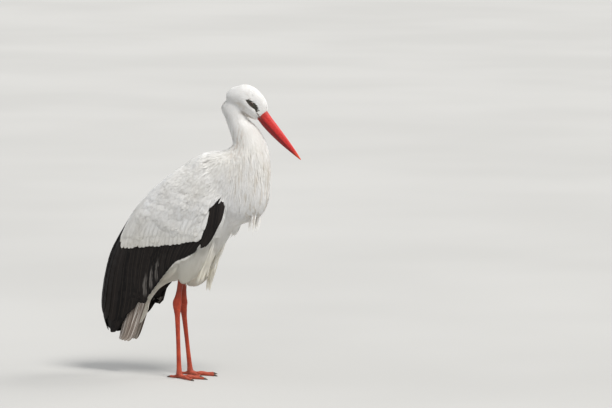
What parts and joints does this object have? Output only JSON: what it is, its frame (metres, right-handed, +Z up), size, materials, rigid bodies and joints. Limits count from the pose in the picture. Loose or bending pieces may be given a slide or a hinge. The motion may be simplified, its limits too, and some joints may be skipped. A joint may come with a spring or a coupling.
{
  "type": "white stork model",
  "caption": "Still life-size white stork standing at rest, long red bill lowered and wings folded.",
  "frame": {"origin": "middle of the bounding box, on the ground between the feet", "axes": "+X the way the bird faces, +Y its left side, +Z up"},
  "size_m": [0.6272, 0.192, 0.8549],
  "materials": {
    "white_plumage": "soft matte feathers",
    "black_plumage": "satin black feathers with a faint brown edge",
    "bill": "smooth satin horn",
    "leg_skin": "scaly bare skin",
    "claw": "blunt dark horn",
    "eye": "wet and glossy"
  },
  "bodies": {
    "root": {"bill_lower": "bill", "bill_upper": "bill", "claw_left_hind": "claw", "claw_left_inner": "claw", "claw_left_middle": "claw", "claw_left_outer": "claw", "claw_right_hind": "claw", "claw_right_inner": "claw", "claw_right_middle": "claw", "claw_right_outer": "claw", "eye_left": "eye", "eye_right": "eye", "flight_feathers_left": "black_plumage", "flight_feathers_right": "black_plumage", "foot_left": "leg_skin", "foot_right": "leg_skin", "head": "white_plumage", "neck": "white_plumage", "shank_left": "leg_skin", "shank_right": "leg_skin", "tail": "white_plumage", "tarsus_left": "leg_skin", "tarsus_right": "leg_skin", "thigh_left": "white_plumage", "thigh_right": "white_plumage", "trunk": "white_plumage", "wing_coverts_left": "white_plumage", "wing_coverts_right": "white_plumage", "wrist_feathers_left": "black_plumage", "wrist_feathers_right": "black_plumage"}
  },
  "joints": []
}
